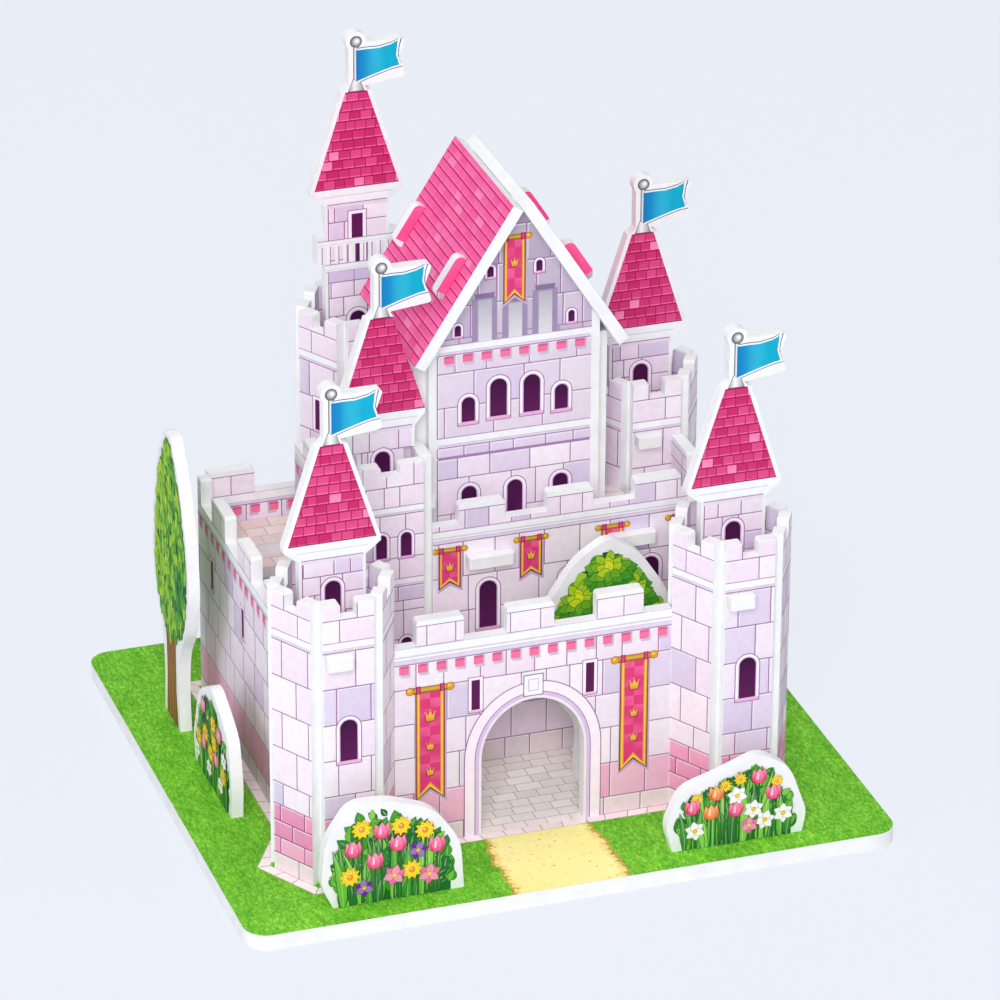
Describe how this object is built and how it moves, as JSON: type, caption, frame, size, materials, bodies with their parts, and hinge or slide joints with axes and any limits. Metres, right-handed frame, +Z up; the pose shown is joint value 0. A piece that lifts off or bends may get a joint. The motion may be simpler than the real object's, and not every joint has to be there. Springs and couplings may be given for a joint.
{
  "type": "cardboard castle",
  "caption": "Slotted and folded foam-board castle with gate wall, corner towers, keep with steep roof, flat spires with flags, and standing plants on a square base.",
  "frame": {"origin": "centre of the underside of the base board", "axes": "+X to the right of the gate, +Y from the gate to the back wall, +Z up"},
  "size_m": [0.2, 0.181, 0.217],
  "materials": {
    "masonry_print": "satin",
    "roof_print": "satin",
    "spire_print": "satin",
    "paving_print": "satin",
    "base_print": "satin",
    "plant_print": "satin"
  },
  "bodies": {
    "root": {"base_board": "base_print", "bush": "plant_print", "floor_back_left": "paving_print", "floor_front_left": "paving_print", "floor_front_right": "paving_print", "floor_middle": "paving_print", "floor_right": "paving_print", "flowers_front_left": "plant_print", "flowers_front_right": "plant_print", "flowers_left": "plant_print", "front_board": "masonry_print", "inner_wall": "masonry_print", "keep_back_gable": "masonry_print", "keep_walls": "masonry_print", "rear_board": "masonry_print", "rear_terrace": "paving_print", "right_wall": "masonry_print", "roof_left": "roof_print", "roof_right": "roof_print", "spire_back_left": "spire_print", "spire_front_left": "spire_print", "spire_front_right": "spire_print", "spire_middle": "spire_print", "spire_right": "spire_print", "terrace_step_lower": "paving_print", "terrace_step_upper": "paving_print", "tower_back_left_front": "masonry_print", "tower_front_left_back": "masonry_print", "tower_front_right_back": "masonry_print", "tower_middle": "masonry_print", "tower_right": "masonry_print", "tree": "plant_print", "upper_floor": "paving_print", "upper_side_wall": "masonry_print"}
  },
  "joints": []
}
